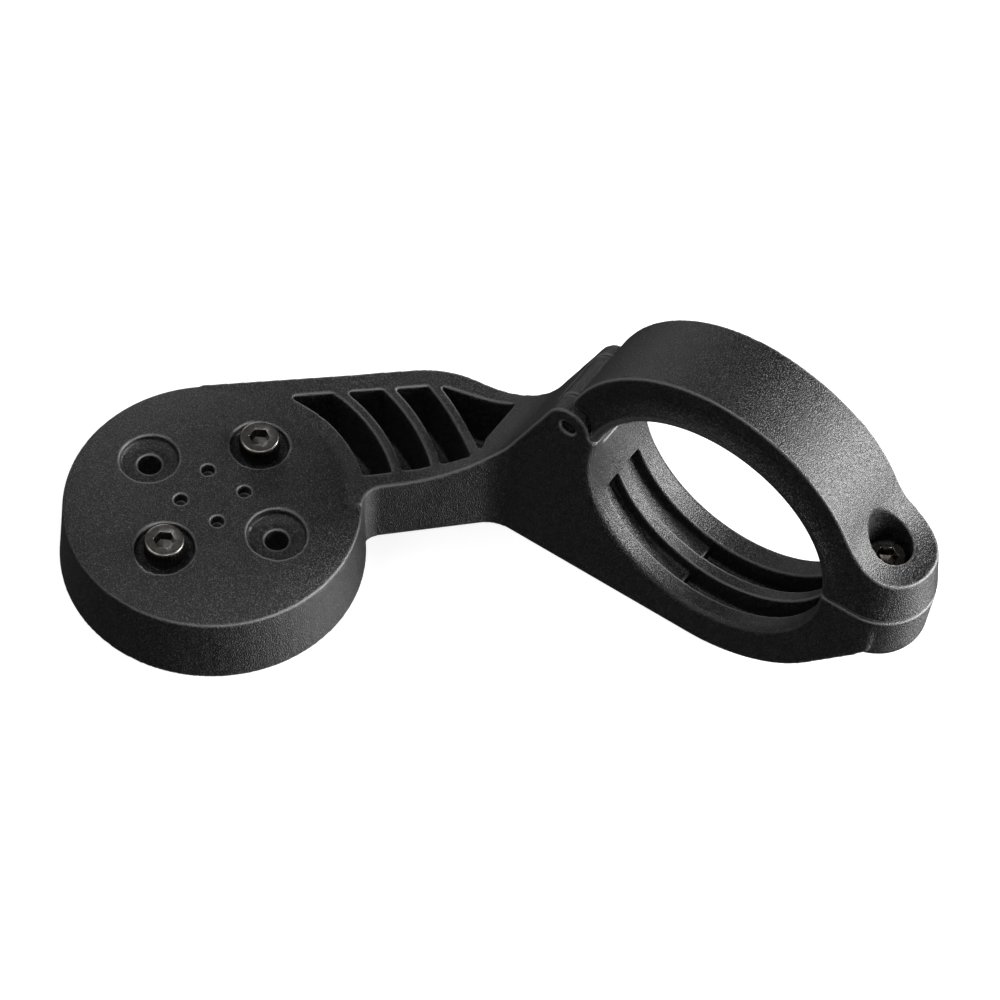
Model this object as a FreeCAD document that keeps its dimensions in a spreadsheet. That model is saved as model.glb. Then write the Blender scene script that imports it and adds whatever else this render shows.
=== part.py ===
import FreeCAD, Part
import math
import os
import Sketcher
from FreeCAD import Placement, Rotation, Vector

# Out-front handlebar mount for a cycling computer, drawn underside up.
# Origin: middle of the handlebar bore.  +X points from the device platform back over the bar
# towards the clamp bolt, +Y along the handlebar, +Z out of the mount's underside.

# ---------------------------------------------------------------- driving dimensions (mm)
DIMENSIONS = [
    ("bar_diameter", 35.0, "handlebar that the clamp takes"),
    ("rim_round", 0.9, "rounding of the bore's two rims"),
    ("clamp_width", 14.4, "clamp along the bar"),
    ("reach", 58.8, "platform centre ahead of the bar axis"),
    ("side_offset", 33.6, "platform centre beside the clamp's middle"),
    ("base_drop", 23.5, "bar axis to the device side of the mount"),
    ("plate_drop", 12.05, "bar axis to the arm's top plate, at the foot of its ramp"),
    ("plate_slope", 0.7, "fall of the top plate towards the platform, degrees"),
    ("crown_drop", 11.0, "bar axis to the platform's flat middle"),
    ("crown_flat", 9.0, "radius of the platform's flat middle"),
    ("rim_drop", 12.8, "bar axis to the platform's rim"),
    ("rim_radius", 19.8, "platform at its rim"),
    ("base_radius", 20.6, "platform at the device side, by draft"),
    ("far_edge_slope", 41.2, "arm's far edge from the bar's square, degrees"),
    ("far_blend", 14.0, "radius where the far edge turns towards the clamp"),
    ("near_edge_slope", 45.0, "arm's near edge, degrees"),
    ("near_blend", 5.0, "radius where the near edge meets the clamp's side"),
    ("near_edge_run", 30.8, "near edge meets the clamp's side ahead of the bar axis"),
    ("far_edge_run", 14.0, "far edge meets the clamp's side ahead of the bar axis"),
    ("far_flare", 6.5, "slope of the far edge beside the clamp, degrees"),
    ("root_fillet", 3.0, "fillet between platform and arm"),
    ("pin_ahead", 21.3, "hinge pin ahead of the bar axis"),
    ("pin_rise", 4.8, "hinge pin above the bar axis"),
    ("pin_diameter", 2.2, "hinge pin"),
    ("pin_clearance", 0.03, "radial clearance of the pin"),
    ("knuckle_radius", 3.25, "hinge knuckles"),
    ("knuckle_width", 7.8, "middle knuckle along the pin"),
    ("hinge_gap", 0.25, "clearance round the knuckles"),
    ("ramp_slope", 64.7, "ramp from the arm's plate up to the hinge, degrees"),
    ("ramp_blend", 12.0, "radius at the foot of the ramp"),
    ("split_gap", 0.2, "parting gap between arm and cap at the bolt"),
    ("bolt_behind", 22.6, "clamp bolt behind the bar axis"),
    ("boss_floor", 9.3, "bar axis to the lower boss's end"),
    ("boss_top", 6.6, "bar axis to the cap boss's top"),
    ("boss_top_radius", 6.4, "boss at its top, by draft"),
    ("boss_floor_radius", 6.85, "boss above its rounded lower end, by draft"),
    ("boss_round", 2.8, "rounding of the boss's lower end"),
    ("belly_angle", 38.0, "where the ring runs off to the lower boss, degrees below the bar axis"),
    ("boss_root", 8.0, "boss runs on from the bolt into the ring"),
    ("boss_blend", 10.0, "concave radius from the cap's ring to its boss"),
    ("cap_radius", 22.8, "outside of the cap beside the boss"),
    ("groove_width", 3.0, "relief grooves in the bore"),
    ("groove_pitch", 5.0, "between the two relief grooves"),
    ("groove_shift", 0.35, "both grooves off the clamp's middle, towards the near side"),
    ("groove_depth", 2.0, "relief grooves below the bore"),
    ("groove_deep", 3.9, "relief grooves below the bore, deep half"),
    ("screw_circle", 20.9, "circle of the four platform holes"),
    ("screw_clearance", 3.2, "platform holes"),
    ("seat_diameter", 7.9, "counterbores"),
    ("seat_drop", 12.3, "bar axis to the counterbores' floor"),
    ("ring_diameter", 6.3, "shallow step in the counterbores' floor"),
    ("ring_depth", 0.2, "shallow step in the counterbores' floor"),
    ("peg_circle", 8.5, "circle of the four locating pegs"),
    ("peg_hole", 1.8, "holes for the pegs"),
    ("peg_diameter", 1.6, "locating pegs"),
    ("louvre_start", 20.4, "first louvre from the platform's centre"),
    ("louvre_width", 3.9, "louvre pockets"),
    ("louvre_rib", 1.4, "ribs between louvres"),
    ("louvre_floor", 2.0, "skin left under the louvres"),
    ("louvre_far_wall", 3.0, "louvre ends to the far edge"),
    ("louvre_near_wall", 2.3, "louvre ends to the near edge"),
    ("web_ahead", 4.2, "last pocket's straight side ahead of the near edge's corner"),
    ("web_far", 4.4, "last pocket's tip in from the clamp's far side"),
    ("web_near", 2.6, "last pocket's foot in from the clamp's near side"),
    ("recess_diameter", 31.0, "recess for the lock insert"),
    ("recess_depth", 6.7, "recess for the lock insert"),
    ("insert_diameter", 30.8, "lock insert"),
    ("insert_floor", 3.2, "lock insert's floor"),
    ("channel_diameter", 26.0, "turning room for the device's two tabs"),
    ("lip_diameter", 21.5, "opening between the lock insert's lips"),
    ("lip_thickness", 1.5, "lock insert's lips"),
    ("tab_angle", 62.0, "each tab gate, degrees"),
    ("nut_diameter", 4.4, "brass inserts behind the platform"),
    ("nut_length", 3.0, "brass inserts behind the platform"),
    ("insert_waist", 0.3, "groove round the brass inserts"),
    ("insert_mouth", 0.45, "chamfer at the brass inserts' mouths"),
    ("screw_head", 5.5, "socket heads of the M3 screws"),
    ("screw_head_height", 3.0, "socket heads of the M3 screws"),
    ("screw_head_round", 0.36, "edges of the M3 screws' heads"),
    ("screw_hex", 2.5, "across flats in the M3 screws"),
    ("screw_hex_depth", 1.65, "hexagons in the M3 screws"),
    ("screw_length", 7.0, "platform screws below the head"),
    ("screw_core", 1.27, "thread core radius of the M3 screws"),
    ("screw_crest", 1.5, "thread crest radius of the M3 screws"),
    ("screw_point", 0.4, "chamfers of the M3 screws' ends"),
    ("bolt_plain", 1.5, "plain shank under the clamp bolt's head"),
    ("bolt_engaged", 3.0, "thread end below the parting plane"),
    ("bolt_hole", 3.3, "clearance hole for the clamp bolt"),
    ("bolt_recess", 6.2, "recess for the bolt's head"),
    ("bolt_seat", 1.8, "parting plane to the bolt's seat"),
    ("bolt_nut_diameter", 4.8, "brass insert in the lower boss"),
    ("bolt_nut_length", 5.0, "brass insert in the lower boss"),
    ("shoulder_split", 166.0, "parting beside the lugs, degrees round the bore"),
    ("knuckle_split", 175.5, "parting under the middle knuckle, degrees round the bore"),
    ("split_step", 1.0, "opening of both partings, degrees"),
    ("groove_end", 156.5, "relief grooves from the bolt's parting, degrees"),
    ("groove_step", 100.0, "their deep half from the bolt's parting, degrees"),
    ("crown_radius", 24.05, "outside of the cap over the bar"),
    ("crown_angle", 112.0, "where the cap is thickest, degrees"),
    ("cap_start_radius", 23.3, "outside of the cap beside the hinge"),
    ("cap_start_angle", 158.5, "where the cap's outside leaves the hinge, degrees"),
    ("shoulder_radius", 23.5, "outside of the cap where its crown ends"),
    ("shoulder_angle", 78.0, "where the cap's crown ends, degrees"),
    ("cove_start", 0.15, "hollow of the cap's sides from the bore's rounded rim"),
    ("cove_run", 3.1, "hollow of the cap's sides, until it is at its full depth"),
    ("cove_depth", 1.2, "hollow of the cap's sides at its outer edge"),
    ("neck_turn", 3.0, "middle knuckle's neck past the line to the cap's outside, degrees"),
    ("pin_setback", 0.4, "pin's near end below the lug's face"),
    ("pin_length", 12.4, "hinge pin"),
    ("small_chamfer", 0.3, "chamfers of the pin's ends"),
    ("insert_setback", 0.1, "lock insert below the device side"),
    ("peg_top", 12.4, "bar axis to the pegs' ends"),
]

doc = FreeCAD.newDocument("out_front_mount")
sheet = doc.addObject("Spreadsheet::Sheet", "dims")
for row, (alias, value, meaning) in enumerate(DIMENSIONS, start=1):
    sheet.set(f"A{row}", meaning)
    sheet.set(f"B{row}", str(value))
    sheet.setAlias(f"B{row}", alias)
doc.recompute()


def dim(alias):
    """A driving dimension read back from the sheet."""
    return float(getattr(sheet, alias))


# ---------------------------------------------------------------- derived places
AXIS = Vector(0, 0, 0)
BORE = dim("bar_diameter") / 2
HALF = dim("clamp_width") / 2
PIN = Vector(-dim("pin_ahead"), dim("pin_rise"), 0)
KNUCKLE = dim("knuckle_radius")
CLEAR = KNUCKLE + dim("hinge_gap")
BASE = -dim("base_drop")
PLATE = -dim("plate_drop")
LEFT = -(dim("reach") + dim("base_radius"))
BOSS_END = dim("bolt_behind") + HALF
CENTRE = Vector(-dim("reach"), -dim("side_offset"), 0)
RECESS_TOP = BASE + dim("recess_depth")
SOCKET_TOP = RECESS_TOP - dim("insert_floor")
SHOULDER_SPLIT = dim("shoulder_split")
KNUCKLE_SPLIT = dim("knuckle_split")
SPLIT_STEP = dim("split_step")
# Depth of the cap's side hollows round the bore: (degrees, share of the full depth)
COVE_SHARES = ((168, 1.0), (139, 1.0), (110, 1.0), (81, 1.0), (52, 0.85), (23, 0.7), (0, 0.03))
# Direction round the bore that is well inside the cap, and the room left round trimming shapes
INSIDE_CAP = 150.0
MARGIN = 5.0
PIN_AT = ("-dims.pin_ahead", "dims.pin_rise")
BOLT_AT = ("dims.bolt_behind", "0")


def flat(x, y):
    return Vector(x, y, 0)


def polar(radius, degrees, centre=AXIS):
    angle = math.radians(degrees)
    return centre + flat(radius * math.cos(angle), radius * math.sin(angle))


def ray_meets_circle(degrees, centre, radius):
    """Where a ray from the origin first meets a circle."""
    ray = polar(1, degrees)
    along = ray.dot(centre)
    reach = math.sqrt(along ** 2 - centre.dot(centre) + radius ** 2)
    return ray * (along - reach)


def heading(point, centre):
    """Direction in degrees from a centre to a point."""
    step = point - centre
    return math.degrees(math.atan2(step.y, step.x))


CAP_START = polar(dim("cap_start_radius"), dim("cap_start_angle"))


# ---------------------------------------------------------------- document helpers
def origin_plane(body, role):
    for feature in body.Origin.OriginFeatures:
        if feature.Role == role:
            return feature
    raise ValueError(role)


def new_body(label):
    body = doc.addObject("PartDesign::Body", label)
    body.Label = label
    return body


def new_sketch(body, name, role, offset=None):
    sketch = body.newObject("Sketcher::SketchObject", name)
    sketch.AttachmentSupport = (origin_plane(body, role), [""])
    sketch.MapMode = "FlatFace"
    if offset is not None:
        sketch.AttachmentOffset = offset
    return sketch


def draw(sketch, start, *steps):
    """Closed outline; a step is an end point, or (middle, end) of an arc."""
    here = start
    for step in steps:
        if isinstance(step, tuple):
            middle, end = step
            sketch.addGeometry(Part.ArcOfCircle(here, middle, end), False)
        else:
            end = step
            sketch.addGeometry(Part.LineSegment(here, end), False)
        here = end
    if here.distanceToPoint(start) > 1e-6:
        sketch.addGeometry(Part.LineSegment(here, start), False)


def blend(before, corner, after, radius):
    """Steps for draw() round one corner: where its tangent arc starts, then the arc."""
    back = (before - corner).normalize()
    ahead = (after - corner).normalize()
    half_angle = back.getAngle(ahead) / 2
    inset = radius / math.tan(half_angle)
    middle = (back + ahead).normalize() * (radius / math.sin(half_angle) - radius)
    return [corner + back * inset, (corner + middle, corner + ahead * inset)]


def rounded(*corners):
    """Start and steps for draw(), from (point, radius) corners with tangent arcs."""
    steps = []
    for index, (corner, radius) in enumerate(corners):
        before = corners[index - 1][0]
        after = corners[(index + 1) % len(corners)][0]
        steps += blend(before, corner, after, radius) if radius else [corner]
    return steps


def circle(sketch, diameter, centre=None, at=("0", "0")):
    """A circle whose diameter and centre follow expressions of the sheet."""
    centre = centre or Vector(0, 0, 0)
    index = sketch.addGeometry(Part.Circle(centre, Vector(0, 0, 1), 1.0), False)
    size = sketch.addConstraint(Sketcher.Constraint("Diameter", index, 2.0))
    sketch.setExpression(f"Constraints[{size}]", diameter)
    for kind, expression, value in (("DistanceX", at[0], centre.x), ("DistanceY", at[1], centre.y)):
        if expression == "0":
            on_axis = -2 if kind == "DistanceX" else -1
            sketch.addConstraint(Sketcher.Constraint("PointOnObject", index, 3, on_axis))
            continue
        place = sketch.addConstraint(Sketcher.Constraint(kind, -1, 1, index, 3, value))
        sketch.setExpression(f"Constraints[{place}]", expression)


def pad(body, name, sketch, length, symmetric=False, reverse=False):
    feature = body.newObject("PartDesign::Pad", name)
    feature.Profile = sketch
    feature.setExpression("Length", length)
    feature.Midplane = symmetric
    feature.Reversed = reverse
    doc.recompute()
    return feature


def pocket(body, name, sketch, length=None, reverse=False, symmetric=False):
    """Cut a sketch out of the body: to a depth, or right through both ways."""
    volume = body.Shape.Volume
    feature = body.newObject("PartDesign::Pocket", name)
    feature.Profile = sketch
    if length is None:
        feature.Type = "ThroughAll"
        feature.Midplane = True
    else:
        feature.setExpression("Length", length)
        feature.Reversed = reverse
        feature.Midplane = symmetric
    doc.recompute()
    if not feature.Shape.Volume < volume - 1e-3:
        raise ValueError(f"{name} cuts nothing")
    return feature


def turned(body, name, kind, sketch, axis="V_Axis", degrees=360.0, reverse=False):
    volume = body.Shape.Volume if kind == "PartDesign::Groove" else None
    feature = body.newObject(kind, name)
    feature.Profile = sketch
    feature.ReferenceAxis = (sketch, [axis])
    feature.Angle = degrees
    feature.Reversed = reverse
    doc.recompute()
    if volume is not None and not feature.Shape.Volume < volume - 1e-3:
        raise ValueError(f"{name} cuts nothing")
    return feature


def on_platform(height):
    """Sketch offset of a horizontal plane through the platform's axis."""
    return Placement(flat(CENTRE.x, CENTRE.y) + Vector(0, 0, height), Rotation())


# ---------------------------------------------------------------- shared outlines
def far_edge():
    """The arm's far edge: two points of the straight run and the flare's start."""
    turn = dim("far_edge_slope")
    touch = polar(dim("rim_radius"), turn + 90, CENTRE)
    flare = flat(-dim("far_edge_run"), HALF)
    run = polar(1, turn)
    rise = polar(1, dim("far_flare"))
    gap = flare - touch
    along = (gap.x * rise.y - gap.y * rise.x) / (run.x * rise.y - run.y * rise.x)
    return touch, touch + run * along, flare


def near_edge():
    """Foot of the near edge beside the platform's axis, and its corner at the clamp."""
    corner = flat(-dim("near_edge_run"), -HALF)
    run = polar(1, dim("near_edge_slope"))
    return corner + run * (CENTRE - corner).dot(run), corner


def root_blend(foot):
    """Steps for draw(): the fillet between the platform's rim and the arm's near edge."""
    run = polar(1, dim("near_edge_slope"))
    side = polar(1, dim("near_edge_slope") + 90)
    radius = dim("root_fillet")
    lean = (foot - CENTRE).dot(side)
    ahead = math.sqrt((dim("rim_radius") + radius) ** 2 - (lean - radius) ** 2)
    middle = CENTRE + side * (lean - radius) + run * ahead
    to_rim = (CENTRE - middle).normalize()
    halfway = (to_rim + side).normalize()
    return [middle + to_rim * radius, (middle + halfway * radius, middle + side * radius)]


def plan_outline(sketch):
    touch, bend, flare = far_edge()
    foot, corner = near_edge()
    boss = dim("bolt_behind")
    steps = rounded(
        (flat(boss, -HALF), 0), (flat(boss, HALF), 0), (flare, 0), (bend, dim("far_blend")),
        (touch, 0), (CENTRE, 0), (foot, 0), (corner, dim("near_blend")))
    steps[1] = (flat(boss + HALF, 0), steps[1])
    at_foot = steps.index(foot)
    steps[at_foot:at_foot + 1] = root_blend(foot)
    draw(sketch, *steps)


def frame_round(sketch):
    """A rectangle round the whole plan, for trimming."""
    side = dim("side_offset") + dim("base_radius") + MARGIN
    ahead = LEFT - MARGIN
    behind = BOSS_END + MARGIN
    draw(sketch, flat(ahead, -side), flat(behind, -side), flat(behind, side), flat(ahead, side))


def split_outline(sketch, degrees):
    """The space of the middle knuckle's foot, down to a slit at the given angle."""
    draw(sketch, polar(BORE / 2, degrees), ray_meets_circle(degrees, PIN, KNUCKLE), PIN,
         polar(BORE, INSIDE_CAP), polar(BORE / 2, INSIDE_CAP))


def at_bolt():
    """Sketch offset of the plane across the bolt, square to the clamp."""
    return Placement(Vector(0, 0, dim("bolt_behind")), Rotation())


# ---------------------------------------------------------------- arm body
def arm_side_outline(sketch):
    ring = dim("base_drop")
    parting = -dim("split_gap") / 2
    lug_foot = ray_meets_circle(SHOULDER_SPLIT, PIN, KNUCKLE)
    lug_top = polar(KNUCKLE, dim("ramp_slope") + 90, PIN)
    ramp_foot = lug_top - polar((lug_top.y - PLATE) / math.sin(math.radians(dim("ramp_slope"))),
                                dim("ramp_slope"))
    leave = dim("belly_angle")
    belly = flat(dim("bolt_behind") + dim("boss_round"), dim("boss_round") - dim("boss_floor"))
    plate_end = flat(LEFT, PLATE - (ramp_foot.x - LEFT) * math.tan(math.radians(dim("plate_slope"))))
    draw(sketch,
         flat(LEFT, BASE), flat(0, BASE),
         (polar(ring, -(90 + leave) / 2), polar(ring, -leave)), belly, flat(belly.x, parting),
         flat(BORE / 2, parting),
         polar(BORE / 2, SHOULDER_SPLIT), lug_foot, (polar(KNUCKLE, 60, PIN), lug_top),
         *blend(lug_top, ramp_foot, plate_end, dim("ramp_blend")), plate_end)


def platform_profile(sketch):
    """Half section of the platform, turned about its own axis: flat, then falling to the rim."""
    rim = flat(dim("rim_radius"), -dim("rim_drop"))
    flat_end = flat(dim("crown_flat"), -dim("crown_drop"))
    run = rim.x - flat_end.x
    fall = flat_end.y - rim.y
    sweep = (run ** 2 + fall ** 2) / (2 * fall)
    middle = run / 2
    draw(sketch, flat(0, BASE), flat(dim("base_radius"), BASE), rim,
         (flat(flat_end.x + middle, flat_end.y + math.sqrt(sweep ** 2 - middle ** 2) - sweep), flat_end),
         flat(0, -dim("crown_drop")))


def louvre_steps(inner, outer):
    """A curved pocket between two radii, ended by walls along the arm's two edges."""
    touch, _, _ = far_edge()
    foot, corner = near_edge()
    wall = (touch - CENTRE).Length - dim("louvre_far_wall")
    edge = polar(1, dim("near_edge_slope") + 90)
    lean = (foot - CENTRE).dot(edge) + dim("louvre_near_wall")

    def far_angle(radius):
        return dim("far_edge_slope") + 90 - math.degrees(math.acos(wall / radius))

    def near_angle(radius):
        return dim("near_edge_slope") + math.degrees(math.asin(lean / radius))

    def middle(radius):
        return polar(radius, (far_angle(radius) + near_angle(radius)) / 2)

    return (polar(inner, near_angle(inner)), polar(outer, near_angle(outer)),
            (middle(outer), polar(outer, far_angle(outer))), polar(inner, far_angle(inner)),
            (middle(inner), polar(inner, near_angle(inner))))


def cut_louvres(body):
    pitch = dim("louvre_width") + dim("louvre_rib")
    sketch = new_sketch(body, "louvre_sketch", "XY_Plane", on_platform(PLATE + 3))
    for number in range(3):
        inner = dim("louvre_start") + number * pitch
        draw(sketch, *louvre_steps(inner, inner + dim("louvre_width")))
    inner = dim("louvre_start") + 3 * pitch
    near, _, _, far, _ = louvre_steps(inner, inner + dim("louvre_width"))
    web = -dim("near_edge_run") - dim("web_ahead")
    tip = flat(web, HALF - dim("web_far")) - CENTRE
    low = flat(web, dim("web_near") - HALF) - CENTRE
    between = polar(inner, (heading(near, AXIS) + heading(far, AXIS)) / 2)
    draw(sketch, low, tip, far, (between, near))
    pocket(body, "louvres", sketch, "dims.base_drop - dims.plate_drop - dims.louvre_floor + 3")


def cut_platform_holes(body):
    """Recess for the lock insert, four counterbored screw holes and four peg holes."""
    recess = new_sketch(body, "recess_sketch", "XY_Plane", on_platform(BASE))
    circle(recess, "dims.recess_diameter")
    pocket(body, "insert_recess", recess, "dims.recess_depth", reverse=True)

    seat = new_sketch(body, "seat_sketch", "XY_Plane", on_platform(-dim("crown_drop")))
    circle(seat, "dims.seat_diameter", polar(dim("screw_circle") / 2, 0), ("dims.screw_circle / 2", "0"))
    seats = pocket(body, "counterbore", seat, "dims.seat_drop - dims.crown_drop")
    step = new_sketch(body, "step_sketch", "XY_Plane", on_platform(-dim("seat_drop")))
    circle(step, "dims.ring_diameter", polar(dim("screw_circle") / 2, 0), ("dims.screw_circle / 2", "0"))
    steps = pocket(body, "floor_step", step, "dims.ring_depth")
    hole = new_sketch(body, "hole_sketch", "XY_Plane", on_platform(-dim("crown_drop")))
    circle(hole, "dims.screw_clearance", polar(dim("screw_circle") / 2, 0),
           ("dims.screw_circle / 2", "0"))
    holes = pocket(body, "screw_hole", hole)
    repeat(body, "screw_holes", [seats, steps, holes], seat)

    peg = new_sketch(body, "peg_sketch", "XY_Plane", on_platform(-dim("crown_drop")))
    circle(peg, "dims.peg_hole", polar(dim("peg_circle") / 2, 45),
           ("dims.peg_circle / 2 * cos(45 deg)", "dims.peg_circle / 2 * sin(45 deg)"))
    repeat(body, "peg_holes", [pocket(body, "peg_hole", peg)], peg)


def repeat(body, name, features, sketch):
    """Four of a feature round the axis of a sketch."""
    pattern = body.newObject("PartDesign::PolarPattern", name)
    pattern.Originals = features
    pattern.Axis = (sketch, ["N_Axis"])
    pattern.Angle = 360
    pattern.Occurrences = 4
    body.Tip = pattern
    doc.recompute()
    return pattern


def cut_knuckle_slot(body):
    """Room for the cap's middle knuckle between the two lugs."""
    slot = new_sketch(body, "slot_sketch", "XZ_Plane")
    circle(slot, "2 * (dims.knuckle_radius + dims.hinge_gap)", PIN, PIN_AT)
    width = "dims.knuckle_width + dims.hinge_gap"
    pocket(body, "knuckle_slot", slot, width, symmetric=True)
    foot = new_sketch(body, "slot_foot_sketch", "XZ_Plane")
    split_outline(foot, KNUCKLE_SPLIT)
    pocket(body, "knuckle_slot_foot", foot, width, symmetric=True)


def cut_grooves(body):
    """Two relief grooves round the lower half of the bore, deeper towards the bolt."""
    for number, side in enumerate((-1, 1)):
        middle = side * dim("groove_pitch") / 2 - dim("groove_shift")
        for name, depth, degrees in (("groove", "groove_depth", dim("groove_end")),
                                     ("groove_deep", "groove_deep", dim("groove_step"))):
            sketch = new_sketch(body, f"{name}_sketch_{number}", "XY_Plane")
            low = flat(BORE - 1, middle - dim("groove_width") / 2)
            high = flat(BORE + dim(depth), middle + dim("groove_width") / 2)
            draw(sketch, low, flat(high.x, low.y), high, flat(low.x, high.y))
            turned(body, f"{name}_{number}", "PartDesign::Groove", sketch, "V_Axis", degrees)


def cut_bore(body):
    """The handlebar bore, with both of its rims rounded."""
    bore = new_sketch(body, f"{body.Name}_bore", "XZ_Plane")
    circle(bore, "dims.bar_diameter")
    pocket(body, f"{body.Name}_bar_bore", bore)
    radius = dim("rim_round")
    inside = radius * (1 - math.sqrt(0.5))
    rims = new_sketch(body, f"{body.Name}_rims", "XY_Plane")
    for side in (-1, 1):
        draw(rims, flat(BORE - 1, side * (HALF + 1)), flat(BORE - 1, side * (HALF - radius)),
             flat(BORE, side * (HALF - radius)),
             (flat(BORE + inside, side * (HALF - inside)), flat(BORE + radius, side * HALF)),
             flat(BORE + radius, side * (HALF + 1)))
    turned(body, f"{body.Name}_rim_rounds", "PartDesign::Groove", rims)


def add_lower_boss(body):
    """The boss below the bolt: a tapered half turn, run on into the ring."""
    waist = flat(dim("boss_floor_radius"), dim("boss_round") - dim("boss_floor"))
    foot = flat(waist.x - dim("boss_round"), -dim("boss_floor"))
    corner = flat(foot.x, waist.y)
    bend = polar(dim("boss_round"), -45, corner)
    top = flat(HALF, -dim("split_gap") / 2)
    half = new_sketch(body, "boss_half_sketch", "YZ_Plane", at_bolt())
    draw(half, flat(0, top.y), top, waist, (bend, foot), flat(0, foot.y))
    turned(body, "boss_round_end", "PartDesign::Revolution", half, degrees=180.0, reverse=True)
    whole = new_sketch(body, "boss_root_sketch", "YZ_Plane", at_bolt())
    draw(whole, flat(-top.x, top.y), top, waist, (bend, foot), flat(-foot.x, foot.y),
         (flat(-bend.x, bend.y), flat(-waist.x, waist.y)))
    pad(body, "boss_root", whole, "dims.boss_root", reverse=True)


def make_arm():
    body = new_body("arm_body")
    side = new_sketch(body, "side_sketch", "XZ_Plane")
    arm_side_outline(side)
    pad(body, "side_pad", side, "2 * (dims.side_offset + dims.base_radius)", symmetric=True)

    plan = new_sketch(body, "plan_sketch", "XY_Plane")
    frame_round(plan)
    plan_outline(plan)
    pocket(body, "plan_trim", plan)

    add_lower_boss(body)
    cut_bore(body)

    disc = new_sketch(body, "platform_sketch", "XZ_Plane",
                      Placement(Vector(CENTRE.x, 0, -CENTRE.y), Rotation()))
    platform_profile(disc)
    turned(body, "platform", "PartDesign::Revolution", disc)

    pin = new_sketch(body, "pin_sketch", "XZ_Plane")
    circle(pin, "dims.pin_diameter + 2 * dims.pin_clearance", PIN, PIN_AT)
    pocket(body, "pin_hole", pin)
    cut_knuckle_slot(body)
    nut = new_sketch(body, "nut_sketch", "XY_Plane", Placement(Vector(0, 0, 0), Rotation()))
    circle(nut, "dims.bolt_nut_diameter", flat(dim("bolt_behind"), 0), BOLT_AT)
    pocket(body, "nut_bore", nut, "dims.split_gap / 2 + dims.bolt_nut_length")
    cut_grooves(body)
    cut_louvres(body)
    cut_platform_holes(body)
    return body


# ---------------------------------------------------------------- clamp cap
def cap_outline(sketch):
    parting = dim("split_gap") / 2
    split = SHOULDER_SPLIT - SPLIT_STEP
    ring = dim("cap_radius")
    hollow = dim("boss_blend")
    top = dim("boss_top")
    blend_centre = flat(math.sqrt((ring + hollow) ** 2 - (top + hollow) ** 2), top + hollow)
    blend_start = polar(ring, heading(blend_centre, AXIS))
    crown = polar(dim("crown_radius"), dim("crown_angle"))
    shoulder = polar(dim("shoulder_radius"), dim("shoulder_angle"))
    blend_angle = heading(blend_start, AXIS)
    draw(sketch,
         flat(BOSS_END + MARGIN, parting), flat(BOSS_END + MARGIN, top), flat(blend_centre.x, top),
         (polar(hollow, (heading(blend_start, blend_centre) - 90) / 2, blend_centre), blend_start),
         (polar((ring + shoulder.Length) / 2 + 0.02, (dim("shoulder_angle") + blend_angle) / 2), shoulder),
         (crown, CAP_START), ray_to_clear(CAP_START),
         (polar(CLEAR, 40, PIN), ray_meets_circle(split, PIN, CLEAR)),
         polar(BORE / 2, split), flat(BORE / 2, parting))


def ray_to_clear(point):
    """Where the line from a point to the pin meets the clearance circle of the knuckles."""
    return PIN + (point - PIN).normalize() * CLEAR


def add_middle_knuckle(body):
    knuckle = new_sketch(body, "knuckle_sketch", "XZ_Plane")
    circle(knuckle, "2 * dims.knuckle_radius", PIN, PIN_AT)
    pad(body, "knuckle", knuckle, "dims.knuckle_width", symmetric=True)
    foot = new_sketch(body, "foot_sketch", "XZ_Plane")
    split = KNUCKLE_SPLIT - SPLIT_STEP
    draw(foot, polar(BORE / 2, split), ray_meets_circle(split, PIN, KNUCKLE), PIN,
         polar(KNUCKLE, heading(CAP_START, PIN) + dim("neck_turn"), PIN), CAP_START,
         polar(BORE + 2, INSIDE_CAP), polar(BORE / 2, INSIDE_CAP))
    pad(body, "knuckle_foot", foot, "dims.knuckle_width", symmetric=True)


def make_cap():
    body = new_body("clamp_cap")
    side = new_sketch(body, "side_sketch_c", "XZ_Plane")
    cap_outline(side)
    pad(body, "ring_pad", side, "dims.clamp_width", symmetric=True)
    plan = new_sketch(body, "plan_sketch_c", "XY_Plane")
    frame_round(plan)
    plan_outline(plan)
    pocket(body, "plan_trim_c", plan)
    add_middle_knuckle(body)
    cut_bore(body)
    add_coves(body)
    draft_upper_boss(body)
    pin = new_sketch(body, "pin_sketch_c", "XZ_Plane")
    circle(pin, "dims.pin_diameter + 2 * dims.pin_clearance", PIN, PIN_AT)
    pocket(body, "pin_hole_c", pin)
    hole = new_sketch(body, "bolt_hole_sketch", "XY_Plane")
    circle(hole, "dims.bolt_hole", flat(dim("bolt_behind"), 0), BOLT_AT)
    pocket(body, "bolt_hole", hole)
    recess = new_sketch(body, "bolt_recess_sketch", "XY_Plane",
                        Placement(Vector(0, 0, dim("bolt_seat")), Rotation()))
    circle(recess, "dims.bolt_recess", flat(dim("bolt_behind"), 0), BOLT_AT)
    pocket(body, "bolt_recess", recess, "dims.bar_diameter", reverse=True)
    return body


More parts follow.
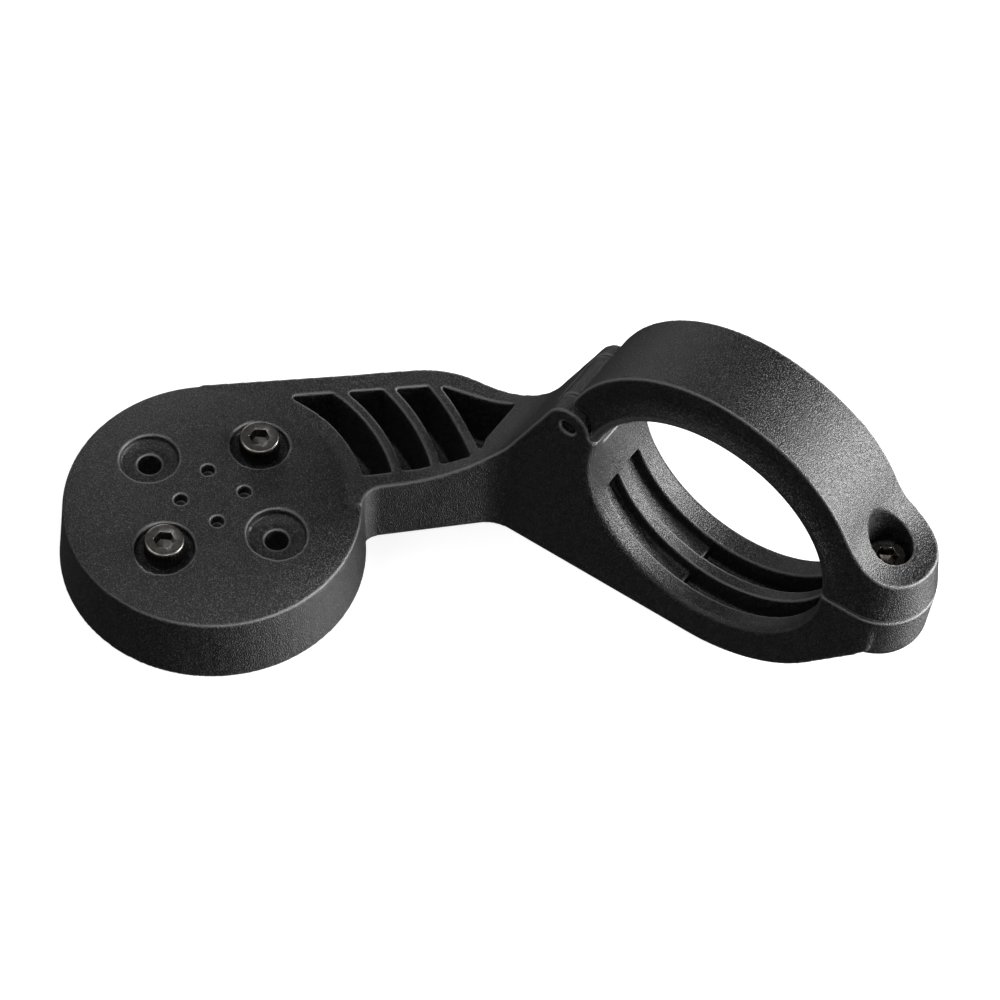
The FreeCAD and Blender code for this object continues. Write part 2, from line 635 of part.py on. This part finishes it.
def add_coves(body):
    """Concave hollows on both sides of the ring, fading out at the boss's parting plane."""
    inner = BORE + dim("rim_round") + dim("cove_start")
    run = dim("cove_run")
    outer = BOSS_END + 1
    sections = []
    for number, (degrees, share) in enumerate(COVE_SHARES):
        turn = Rotation(Vector(0, 1, 0), -degrees)
        depth = share * dim("cove_depth")
        sketch = new_sketch(body, f"cove_sketch_{number}", "XY_Plane", Placement(Vector(0, 0, 0), turn))
        draw(sketch, flat(inner, HALF),
             (flat(inner + 0.39 * run, HALF - 0.75 * depth), flat(inner + run, HALF - depth)),
             flat(outer, HALF - depth), flat(outer, HALF + 1), flat(inner, HALF + 1))
        sections.append(sketch)
    doc.recompute()
    cove = body.newObject("PartDesign::SubtractiveLoft", "cove")
    cove.Profile = sections[0]
    cove.Sections = sections[1:]
    doc.recompute()
    mirror = body.newObject("PartDesign::Mirrored", "coves")
    mirror.Originals = [cove]
    mirror.MirrorPlane = (origin_plane(body, "XZ_Plane"), [""])
    body.Tip = mirror
    doc.recompute()


def draft_upper_boss(body):
    """Taper the cap boss's round end, outside a line turned half round it."""
    top = flat(dim("boss_top_radius"), dim("boss_top"))
    sketch = new_sketch(body, "boss_draft_sketch", "YZ_Plane", at_bolt())
    draw(sketch, flat(HALF, dim("split_gap") / 2), top, flat(top.x, BORE),
         flat(HALF + 1, BORE), flat(HALF + 1, dim("split_gap") / 2))
    turned(body, "boss_draft", "PartDesign::Groove", sketch, degrees=180.0, reverse=True)


# ---------------------------------------------------------------- hardware
def make_hinge_pin():
    body = new_body("hinge_pin")
    near_end = Placement(Vector(0, 0, HALF - dim("pin_setback")), Rotation())
    sketch = new_sketch(body, "pin_round", "XZ_Plane", near_end)
    circle(sketch, "dims.pin_diameter", PIN, PIN_AT)
    rod = pad(body, "rod", sketch, "dims.pin_length", reverse=True)
    ends = body.newObject("PartDesign::Chamfer", "rod_ends")
    ends.Base = (rod, [f"Edge{i}" for i, e in enumerate(rod.Shape.Edges, start=1) if e.Closed])
    ends.setExpression("Size", "dims.small_chamfer")
    doc.recompute()
    return body


def hexagon(sketch, across, centre):
    draw(sketch, *[polar(across / math.sqrt(3), 60 * k + 30, centre) for k in range(6)])


def socket_screw(label, centre, seat, steps):
    """M3 socket screw pointing down: head over the seat, then (depth, radius) of its shank."""
    body = new_body(label)
    place = Placement(Vector(centre.x, 0, -centre.y), Rotation())
    profile = new_sketch(body, f"{label}_profile", "XZ_Plane", place)
    radius = dim("screw_head") / 2
    top = seat + dim("screw_head_height")
    edge = dim("screw_head_round")
    corner = flat(radius - edge, top - edge)
    outline = [flat(0, top), flat(corner.x, top), (polar(edge, 45, corner), flat(radius, corner.y)),
               flat(radius, seat)]
    depth = 0
    for down, shank in steps:
        outline += [flat(shank, seat - depth), flat(shank, seat - down)]
        depth = down
    chamfer = dim("screw_point")
    outline[-1] = flat(shank, seat - depth + chamfer)
    outline += [flat(shank - chamfer, seat - depth), flat(0, seat - depth)]
    draw(profile, *outline)
    turned(body, f"{label}_turned", "PartDesign::Revolution", profile)
    key = new_sketch(body, f"{label}_key", "XY_Plane", Placement(Vector(0, 0, top), Rotation()))
    hexagon(key, dim("screw_hex"), centre)
    pocket(body, f"{label}_hex", key, "dims.screw_hex_depth")
    return body


def make_platform_screw(label, side):
    centre = CENTRE + flat(0, side * dim("screw_circle") / 2)
    return socket_screw(label, centre, -dim("seat_drop"), [(dim("screw_length"), dim("screw_core"))])


def make_clamp_bolt():
    seat = dim("split_gap") / 2 + dim("bolt_seat")
    plain = (dim("bolt_plain"), dim("screw_crest"))
    return socket_screw("clamp_bolt", flat(dim("bolt_behind"), 0), seat,
                        [plain, (seat + dim("bolt_engaged"), dim("screw_core"))])


def threaded_insert(body, centre, top, diameter, length):
    """A brass insert: plain bands above and below a waist, and a chamfered mouth."""
    place = Placement(Vector(centre.x, 0, -centre.y), Rotation())
    profile = new_sketch(body, f"{body.Label}_profile", "XZ_Plane", place)
    outer = diameter / 2
    waist = outer - dim("insert_waist")
    bore = dim("screw_crest")
    mouth = dim("insert_mouth")
    draw(profile, flat(bore + mouth, top), flat(outer, top), flat(outer, top - 0.4 * length),
         flat(waist, top - 0.45 * length), flat(waist, top - 0.55 * length),
         flat(outer, top - 0.6 * length), flat(outer, top - length), flat(bore, top - length),
         flat(bore, top - mouth))
    turned(body, f"{body.Label}_turned", "PartDesign::Revolution", profile)


def make_clamp_nut():
    body = new_body("clamp_nut")
    threaded_insert(body, flat(dim("bolt_behind"), 0), -dim("split_gap") / 2,
                    dim("bolt_nut_diameter"), dim("bolt_nut_length"))
    return body


def make_platform_nut(label, side):
    body = new_body(label)
    threaded_insert(body, CENTRE + flat(0, side * dim("screw_circle") / 2), RECESS_TOP,
                    dim("nut_diameter"), dim("nut_length"))
    return body


# ---------------------------------------------------------------- lock insert
def make_lock_insert():
    body = new_body("lock_insert")
    profile = new_sketch(body, "insert_profile", "XZ_Plane",
                         Placement(Vector(CENTRE.x, 0, -CENTRE.y), Rotation()))
    face = BASE + dim("insert_setback")
    lip_top = face + dim("lip_thickness")
    outer = dim("insert_diameter") / 2
    channel = dim("channel_diameter") / 2
    lip = dim("lip_diameter") / 2
    draw(profile, flat(0, RECESS_TOP), flat(outer, RECESS_TOP), flat(outer, face), flat(lip, face),
         flat(lip, lip_top), flat(channel, lip_top), flat(channel, SOCKET_TOP), flat(0, SOCKET_TOP))
    turned(body, "insert_round", "PartDesign::Revolution", profile)
    for number, facing in enumerate((90, 270)):
        gate = new_sketch(body, f"gate_sketch_{number}", "XY_Plane", on_platform(face))
        half = dim("tab_angle") / 2
        draw(gate, polar(lip - 1, facing - half), polar(channel, facing - half),
             (polar(channel, facing), polar(channel, facing + half)), polar(lip - 1, facing + half))
        pocket(body, f"gate_{number}", gate, "dims.lip_thickness", reverse=True)
        nut = new_sketch(body, f"nut_seat_sketch_{number}", "XY_Plane", on_platform(RECESS_TOP))
        at = ("0", "dims.screw_circle / 2" if facing == 90 else "-dims.screw_circle / 2")
        circle(nut, "dims.nut_diameter", polar(dim("screw_circle") / 2, facing), at)
        pocket(body, f"nut_seat_{number}", nut, "dims.nut_length")
    peg = new_sketch(body, "peg_round", "XY_Plane", on_platform(RECESS_TOP))
    circle(peg, "dims.peg_diameter", polar(dim("peg_circle") / 2, 45),
           ("dims.peg_circle / 2 * cos(45 deg)", "dims.peg_circle / 2 * sin(45 deg)"))
    pegs = pad(body, "peg", peg, "dims.base_drop - dims.recess_depth - dims.peg_top")
    repeat(body, "pegs", [pegs], peg)
    return body


# ---------------------------------------------------------------- build, check, write
def check_document():
    for item in doc.Objects:
        if {"Invalid", "Error"} & set(item.State):
            raise ValueError(f"{item.Name} is {item.State}")


def write(pieces):
    os.makedirs("parts", exist_ok=True)
    for piece in pieces:
        shape = piece.Shape
        if shape.isNull() or not shape.isValid() or not shape.Solids:
            raise ValueError(f"{piece.Label} has no valid solid")
        print(piece.Label, len(shape.Solids), round(shape.Volume, 1))
        shape.exportStep(f"parts/{piece.Label}.step")


PIECES = [
    make_arm(), make_cap(), make_hinge_pin(), make_clamp_bolt(), make_clamp_nut(),
    make_lock_insert(), make_platform_nut("platform_nut_near", -1), make_platform_nut("platform_nut_far", 1),
    make_platform_screw("platform_screw_near", -1), make_platform_screw("platform_screw_far", 1),
]
doc.recompute()
check_document()
write(PIECES)
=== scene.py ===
import math

import bmesh
import bpy
from mathutils import Matrix, Vector


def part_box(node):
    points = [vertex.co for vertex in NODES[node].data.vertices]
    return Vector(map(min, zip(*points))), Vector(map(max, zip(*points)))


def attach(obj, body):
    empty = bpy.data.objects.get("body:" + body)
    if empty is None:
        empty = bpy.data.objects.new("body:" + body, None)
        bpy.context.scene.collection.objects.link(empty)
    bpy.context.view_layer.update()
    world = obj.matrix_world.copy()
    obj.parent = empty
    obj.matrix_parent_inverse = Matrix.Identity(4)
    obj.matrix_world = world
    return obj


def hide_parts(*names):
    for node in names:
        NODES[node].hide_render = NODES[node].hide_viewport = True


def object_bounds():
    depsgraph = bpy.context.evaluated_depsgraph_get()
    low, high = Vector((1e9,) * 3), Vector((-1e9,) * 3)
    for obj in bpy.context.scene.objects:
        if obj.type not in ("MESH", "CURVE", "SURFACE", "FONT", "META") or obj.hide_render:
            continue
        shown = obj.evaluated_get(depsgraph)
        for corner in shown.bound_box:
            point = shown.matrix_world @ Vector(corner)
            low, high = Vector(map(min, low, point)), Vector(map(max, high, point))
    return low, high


# Out-front handlebar mount, lying underside up.  Lengths are in metres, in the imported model's frame.
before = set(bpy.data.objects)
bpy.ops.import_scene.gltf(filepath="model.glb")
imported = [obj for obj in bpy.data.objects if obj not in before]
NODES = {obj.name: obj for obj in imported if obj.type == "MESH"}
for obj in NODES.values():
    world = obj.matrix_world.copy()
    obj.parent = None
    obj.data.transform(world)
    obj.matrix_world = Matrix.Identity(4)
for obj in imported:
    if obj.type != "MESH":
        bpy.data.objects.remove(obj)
CAD_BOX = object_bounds()
MM = 0.001

# Moulded pieces: the voxel that evens out the mesh, and how often it is smoothed to round the edges.
VOXEL = 0.22 * MM
SMOOTH_PASSES = 9

# The M3 socket screws.  The head's width and the screw's length come from the CAD node.
SEGMENTS = 96
SHARP_ANGLE = math.radians(38)
HEAD_HEIGHT = 3.0 * MM
HEAD_EDGE = 0.3 * MM  # radius of the head's top edge
HEAD_EDGE_STEPS = 4
TOP_INSET = 0.39 * MM  # where the flat top ends, a hair over the start of the rounded edge
COLLAR_DROP = 0.12 * MM  # how far the plain parts of the head lie inside the knurl
COLLAR_HEIGHT = 0.25 * MM
SEAT_DROP = 0.2 * MM
KNURL_DEPTH = 0.13 * MM
KNURL_TEETH = 32
KNURL_TOP = 0.42 * MM  # below the head's top
KNURL_FOOT = 0.4 * MM  # above the seat
HEX_APOTHEM = 1.25 * MM
SOCKET_DEPTH = 1.7 * MM
SOCKET_CHAMFER = 0.08 * MM
CHAMFER_REACH = 1.19  # times the apothem, just past the corners of the hexagon
FLOOR_STEP = 0.97  # times the apothem, a fine step that keeps the socket's corner crisp
DRILL_POINT = 0.45 * MM
DRILL_TIP = 0.08 * MM
PITCH = 0.5 * MM
RINGS_PER_TURN = 8
THREAD_CREST = 1.46 * MM
THREAD_ROOT = 1.2 * MM
THREAD_START = 0.05 * MM  # below the seat
THREAD_STOP = 0.4 * MM  # above the tip
TIP_CHAMFER = 0.1 * MM
TIP_DROP = 0.25 * MM

# Camera: the photograph's viewing angle.
CAMERA_PLACE = Vector((121.754, -269.894, 392.741)) * MM
CAMERA_LOOK = Vector((-0.29778, 0.51425, -0.80428))
CAMERA_UP = Vector((-0.47728, 0.64945, 0.59196))
LENS = 136.44
SENSOR = 36.0

# Softboxes round the origin: direction, distance, width, height and power in watts.
LIGHTS = {
    "key": ((0.80, 0.48, 0.30), 0.55, 0.42, 0.30, 11.0),
    "side": ((0.95, -0.10, -0.38), 0.6, 0.20, 0.15, 2.3),
    "top": ((-0.45, -0.28, 0.85), 0.7, 0.40, 0.30, 1.2),
    "overhead": ((0.25, -0.30, 0.92), 0.7, 0.20, 0.20, 1.0),
    "left": ((-0.80, 0.55, 0.15), 0.6, 0.30, 0.20, 0.5),
    "front": ((-0.40, -0.84, 0.30), 0.6, 0.60, 0.10, 0.35),
    "under": ((0.62, 0.42, -0.68), 0.6, 0.20, 0.20, 0.8),
}


# ---------------------------------------------------------------- shader parts
def new_material(name):
    """A material with its nodes, its links and its main shader."""
    material = bpy.data.materials.new(name)
    material.use_nodes = True
    tree = material.node_tree
    return material, tree.nodes, tree.links, tree.nodes["Principled BSDF"]


def noise(nodes, links, scale, detail, roughness=0.5):
    """Noise in object space, with scale in cells per metre."""
    place = nodes.new("ShaderNodeTexCoord")
    texture = nodes.new("ShaderNodeTexNoise")
    texture.inputs["Scale"].default_value = scale
    texture.inputs["Detail"].default_value = detail
    texture.inputs["Roughness"].default_value = roughness
    links.new(place.outputs["Object"], texture.inputs["Vector"])
    return texture.outputs["Fac"]


def ranged(nodes, links, source, low, high, start=0.3, end=0.7):
    """A value from start to end spread over low to high."""
    spread = nodes.new("ShaderNodeMapRange")
    spread.inputs["From Min"].default_value = start
    spread.inputs["From Max"].default_value = end
    spread.inputs["To Min"].default_value = low
    spread.inputs["To Max"].default_value = high
    links.new(source, spread.inputs["Value"])
    return spread.outputs["Result"]


def coloured(nodes, links, source, dark, light, start=0.35, end=0.65):
    """A value from start to end turned into a colour from dark to light."""
    ramp = nodes.new("ShaderNodeValToRGB")
    first, last = ramp.color_ramp.elements
    first.position = start
    first.color = (*dark, 1)
    last.position = end
    last.color = (*light, 1)
    links.new(source, ramp.inputs["Fac"])
    return ramp.outputs["Color"]


def blended(nodes, links, factor, below, above):
    """Two colours mixed by a factor."""
    mix = nodes.new("ShaderNodeMix")
    mix.data_type = "RGBA"
    links.new(factor, mix.inputs["Factor"])
    links.new(below, mix.inputs["A"])
    links.new(above, mix.inputs["B"])
    return mix.outputs["Result"]


def flat_colour(nodes, colour):
    """A constant colour."""
    source = nodes.new("ShaderNodeRGB")
    source.outputs["Color"].default_value = (*colour, 1)
    return source.outputs["Color"]


def bumped(nodes, links, source, height, strength):
    """A normal that rises and falls with a value."""
    bump = nodes.new("ShaderNodeBump")
    bump.inputs["Distance"].default_value = height
    bump.inputs["Strength"].default_value = strength
    links.new(source, bump.inputs["Height"])
    return bump.outputs["Normal"]


def edge_highlight_mask(nodes, links):
    """1 on the convex edges of a piece and 0 elsewhere; the nylon's painted edge highlight is laid on
    through it.
    """
    geometry = nodes.new("ShaderNodeNewGeometry")
    around = nodes.new("ShaderNodeBevel")
    around.samples = 4
    around.inputs["Radius"].default_value = 0.35 * MM
    turn = nodes.new("ShaderNodeVectorMath")
    turn.operation = "DOT_PRODUCT"
    links.new(around.outputs["Normal"], turn.inputs[0])
    links.new(geometry.outputs["Normal"], turn.inputs[1])
    bent = ranged(nodes, links, turn.outputs["Value"], 1.0, 0.0, 0.985, 0.999)
    convex = ranged(nodes, links, geometry.outputs["Pointiness"], 0.0, 1.0, 0.505, 0.525)
    both = nodes.new("ShaderNodeMath")
    both.operation = "MULTIPLY"
    links.new(bent, both.inputs[0])
    links.new(convex, both.inputs[1])
    return both.outputs["Value"]


def facing_up(nodes, links):
    """1 on faces that look up and 0 on upright ones."""
    geometry = nodes.new("ShaderNodeNewGeometry")
    split = nodes.new("ShaderNodeSeparateXYZ")
    links.new(geometry.outputs["Normal"], split.inputs["Vector"])
    return ranged(nodes, links, split.outputs["Z"], 0.0, 1.0, 0.2, 0.75)


# ---------------------------------------------------------------- materials
def nylon(name, dark, light, rough, grain, grain_height):
    """Glass-filled nylon: eroded grain, pale specks, a slow change of sheen, and a highlight painted
    along the convex edges.
    """
    material, nodes, links, shader = new_material(name)
    fine = noise(nodes, links, grain, 1.0, 0.6)
    slow = noise(nodes, links, 90.0, 3.0)
    specks = coloured(nodes, links, fine, dark, light, 0.54, 0.66)
    # painted highlight: a light grey laid into the colour along the convex edges
    painted_edge_highlight = flat_colour(nodes, (0.20, 0.197, 0.193))
    colour = blended(nodes, links, edge_highlight_mask(nodes, links), specks, painted_edge_highlight)
    links.new(colour, shader.inputs["Base Color"])
    links.new(ranged(nodes, links, slow, *rough), shader.inputs["Roughness"])
    links.new(bumped(nodes, links, fine, grain_height, 1.0), shader.inputs["Normal"])
    return material


def steel(name, dark, light, rough, upward_tones=None):
    """Metal with fine scratches and blotches, and other tones on the faces that look up."""
    material, nodes, links, shader = new_material(name)
    scratches = noise(nodes, links, 5000.0, 2.0, 0.6)
    blotches = noise(nodes, links, 1400.0, 3.0, 0.6)
    colour = coloured(nodes, links, blotches, dark, light)
    # faces that look up are given a second pair of tones, lighter for the screws
    if upward_tones is not None:
        upward_colour = coloured(nodes, links, blotches, *upward_tones)
        colour = blended(nodes, links, facing_up(nodes, links), colour, upward_colour)
    links.new(colour, shader.inputs["Base Color"])
    links.new(ranged(nodes, links, scratches, *rough), shader.inputs["Roughness"])
    links.new(bumped(nodes, links, scratches, 0.006 * MM, 0.4), shader.inputs["Normal"])
    shader.inputs["Metallic"].default_value = 1.0
    return material


def moulding_nylon():
    return nylon("nylon", dark=(0.001, 0.001, 0.0012), light=(0.07, 0.068, 0.072),
                 rough=(0.35, 0.41), grain=5800.0, grain_height=0.12 * MM)


def insert_nylon():
    return nylon("insert_nylon", dark=(0.012, 0.012, 0.012), light=(0.02, 0.02, 0.02),
                 rough=(0.33, 0.42), grain=6000.0, grain_height=0.012 * MM)


def screw_steel():
    return steel("screw_steel", dark=(0.02, 0.019, 0.018), light=(0.05, 0.048, 0.046),
                 rough=(0.30, 0.42), upward_tones=((0.2, 0.19, 0.176), (0.29, 0.278, 0.258)))


def bolt_steel():
    return steel("bolt_steel", dark=(0.09, 0.08, 0.07), light=(0.18, 0.165, 0.15), rough=(0.16, 0.3))


def pin_steel():
    return steel("pin_steel", dark=(0.035, 0.035, 0.036), light=(0.09, 0.09, 0.09), rough=(0.3, 0.5))


def brass():
    return steel("brass", dark=(0.55, 0.38, 0.15), light=(0.72, 0.53, 0.24), rough=(0.2, 0.4))


def dress_nodes():
    """Give each CAD node its material."""
    made_of = [(moulding_nylon(), ("arm_body", "clamp_cap")),
               (insert_nylon(), ("lock_insert",)),
               (screw_steel(), ("platform_screw_near", "platform_screw_far")),
               (bolt_steel(), ("clamp_bolt",)),
               (pin_steel(), ("hinge_pin",)),
               (brass(), ("clamp_nut", "platform_nut_near", "platform_nut_far"))]
    for material, names in made_of:
        for name in names:
            paint(NODES[name], material)


def paint(obj, material):
    obj.data.materials.clear()
    obj.data.materials.append(material)


# ---------------------------------------------------------------- moulded pieces
def soften(obj):
    """Round every edge of a moulded piece, as its tool would."""
    remesh = obj.modifiers.new("even_mesh", "REMESH")
    remesh.mode = "VOXEL"
    remesh.voxel_size = VOXEL
    remesh.use_smooth_shade = True
    smooth = obj.modifiers.new("edge_rounds", "SMOOTH")
    smooth.factor = 0.5
    smooth.iterations = SMOOTH_PASSES


# ---------------------------------------------------------------- screws
def round_at(radius):
    return lambda angle: radius


def hexagonal(apothem):
    sixth = math.pi / 3
    return lambda angle: apothem / math.cos((angle + sixth / 2) % sixth - sixth / 2)


def knurled(radius):
    return lambda angle: radius - KNURL_DEPTH * abs(math.sin(angle * KNURL_TEETH / 2))


def threaded(drop):
    """The outline of a triangular thread at a depth below its start."""
    def radius(angle):
        phase = (drop / PITCH + angle / (2 * math.pi)) % 1
        return THREAD_ROOT + (THREAD_CREST - THREAD_ROOT) * (1 - abs(2 * phase - 1))
    return radius


def socket_rings(top):
    """The hexagonal socket, from its drilled point up to the chamfer at its mouth."""
    floor = top - SOCKET_DEPTH
    return [(floor - DRILL_POINT, round_at(DRILL_TIP)),
            (floor, hexagonal(HEX_APOTHEM * FLOOR_STEP)),
            (floor, hexagonal(HEX_APOTHEM)),
            (top - SOCKET_CHAMFER, hexagonal(HEX_APOTHEM)),
            (top, round_at(HEX_APOTHEM * CHAMFER_REACH))]


def head_rings(top, seat, head):
    """The rim of the head's flat top, its rounded edge, knurled side and collar, down to the seat."""
    shoulder = head - COLLAR_DROP
    rings = [(top, round_at(head - TOP_INSET))]
    for step in range(HEAD_EDGE_STEPS + 1):
        turn = math.pi / 2 * step / HEAD_EDGE_STEPS
        rings.append((top - HEAD_EDGE * (1 - math.cos(turn)),
                      round_at(shoulder - HEAD_EDGE * (1 - math.sin(turn)))))
    return rings + [(top - KNURL_TOP, knurled(head)),
                    (seat + KNURL_FOOT, knurled(head)),
                    (seat + COLLAR_HEIGHT, round_at(shoulder)),
                    (seat, round_at(head - SEAT_DROP))]


def shank_rings(seat, tip):
    """The cut thread, from the seat down to the chamfered tip."""
    rings = [(seat, round_at(THREAD_CREST))]
    turns = (seat - tip - THREAD_STOP) / PITCH
    for step in range(int(turns * RINGS_PER_TURN) + 1):
        drop = step * PITCH / RINGS_PER_TURN
        rings.append((seat - THREAD_START - drop, threaded(drop)))
    return rings + [(tip + TIP_CHAMFER, round_at(THREAD_ROOT)),
                    (tip, round_at(THREAD_ROOT - TIP_DROP))]


def ring_of_points(mesh, centre, height, radius):
    """Points round a vertical axis, each as far out as the radius says at its angle."""
    points = []
    for step in range(SEGMENTS):
        angle = 2 * math.pi * step / SEGMENTS
        reach = radius(angle)
        points.append(mesh.verts.new((centre.x + reach * math.cos(angle),
                                      centre.y + reach * math.sin(angle), height)))
    return points


def lathe(name, rings, centre):
    """A closed skin over rings of (height, radius at an angle), round a vertical axis."""
    mesh = bmesh.new()
    loops = [ring_of_points(mesh, centre, height, radius) for height, radius in rings]
    for above, below in zip(loops, loops[1:]):
        for step in range(SEGMENTS):
            ahead = (step + 1) % SEGMENTS
            mesh.faces.new((above[step], below[step], below[ahead], above[ahead]))
    mesh.faces.new(loops[0])
    mesh.faces.new(list(reversed(loops[-1])))
    bmesh.ops.recalc_face_normals(mesh, faces=mesh.faces)
    data = bpy.data.meshes.new(name)
    mesh.to_mesh(data)
    mesh.free()
    data.shade_smooth()
    data.set_sharp_from_angle(angle=SHARP_ANGLE)
    return place_in_scene(name, data)


def place_in_scene(name, data):
    obj = bpy.data.objects.new(name, data)
    bpy.context.scene.collection.objects.link(obj)
    return obj


def socket_screw(name, node, body):
    """A knurled socket-head screw with a cut thread, in the place and material of a plain CAD screw."""
    low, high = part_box(node)
    head = (high.x - low.x) / 2
    seat = high.z - HEAD_HEIGHT
    rings = socket_rings(high.z) + head_rings(high.z, seat, head) + shank_rings(seat, low.z)
    screw = lathe(name, rings, (low + high) / 2)
    paint(screw, NODES[node].data.materials[0])
    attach(screw, body)
    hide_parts(node)


# ---------------------------------------------------------------- studio
def camera_sees(tree, seen, otherwise, output):
    """Show one shader to the camera and another to every other ray."""
    path = tree.nodes.new("ShaderNodeLightPath")
    mix = tree.nodes.new("ShaderNodeMixShader")
    tree.links.new(path.outputs["Is Camera Ray"], mix.inputs["Fac"])
    tree.links.new(otherwise.outputs[0], mix.inputs[1])
    tree.links.new(seen.outputs[0], mix.inputs[2])
    tree.links.new(mix.outputs[0], output.inputs["Surface"])


def floor_paper():
    """White paper that the camera sees and that throws no light back at the object."""
    material = bpy.data.materials.new("floor_paper")
    material.use_nodes = True
    tree = material.node_tree
    tree.nodes.clear()
    paper = tree.nodes.new("ShaderNodeBsdfDiffuse")
    paper.inputs["Color"].default_value = (0.5, 0.5, 0.5, 1)
    glow = tree.nodes.new("ShaderNodeEmission")
    glow.inputs["Strength"].default_value = 0.8
    both = tree.nodes.new("ShaderNodeAddShader")
    tree.links.new(paper.outputs[0], both.inputs[0])
    tree.links.new(glow.outputs[0], both.inputs[1])
    clear = tree.nodes.new("ShaderNodeBsdfTransparent")
    camera_sees(tree, both, clear, tree.nodes.new("ShaderNodeOutputMaterial"))
    return material


def make_floor():
    """A wide square of paper under the object."""
    reach = 3.0
    corners = [(-reach, -reach, 0), (reach, -reach, 0), (reach, reach, 0), (-reach, reach, 0)]
    data = bpy.data.meshes.new("floor")
    data.from_pydata(corners, [], [(0, 1, 2, 3)])
    data.materials.append(floor_paper())
    floor = place_in_scene("floor", data)
    floor.location.z = CAD_BOX[0].z


def backdrop(nodes, grey, strength):
    light = nodes.new("ShaderNodeBackground")
    light.inputs["Color"].default_value = (grey, grey, grey, 1)
    light.inputs["Strength"].default_value = strength
    return light


def make_world():
    """A pale backdrop for the camera, and a dim room for the reflections."""
    world = bpy.data.worlds.new("studio")
    world.use_nodes = True
    bpy.context.scene.world = world
    tree = world.node_tree
    tree.nodes.clear()
    seen = backdrop(tree.nodes, 0.95, 1.0)
    room = backdrop(tree.nodes, 1.0, 0.05)
    camera_sees(tree, seen, room, tree.nodes.new("ShaderNodeOutputWorld"))


def softbox(name, direction, distance, width, height, power):
    """A rectangular lamp that faces the origin from a direction."""
    data = bpy.data.lights.new(name, "AREA")
    data.shape = "RECTANGLE"
    data.size = width
    data.size_y = height
    data.energy = power
    light = place_in_scene(name, data)
    away = Vector(direction).normalized()
    light.location = away * distance
    light.rotation_mode = "QUATERNION"
    light.rotation_quaternion = away.to_track_quat("Z", "Y")


def make_camera():
    forward = CAMERA_LOOK.normalized()
    right = forward.cross(CAMERA_UP).normalized()
    up = right.cross(forward)
    turn = Matrix((right, up, -forward)).transposed().to_4x4()
    data = bpy.data.cameras.new("camera")
    data.sensor_width = SENSOR
    data.lens = LENS
    camera = place_in_scene("camera", data)
    camera.matrix_world = Matrix.Translation(CAMERA_PLACE) @ turn
    bpy.context.scene.camera = camera


# ---------------------------------------------------------------- build
dress_nodes()
soften(NODES["arm_body"])
soften(NODES["clamp_cap"])
socket_screw("screw_near", "platform_screw_near", "mount")
socket_screw("screw_far", "platform_screw_far", "mount")
socket_screw("bolt", "clamp_bolt", "bolt")
make_floor()
make_world()
for name, box in LIGHTS.items():
    softbox(name, *box)
make_camera()
bpy.context.scene.view_settings.view_transform = "Standard"
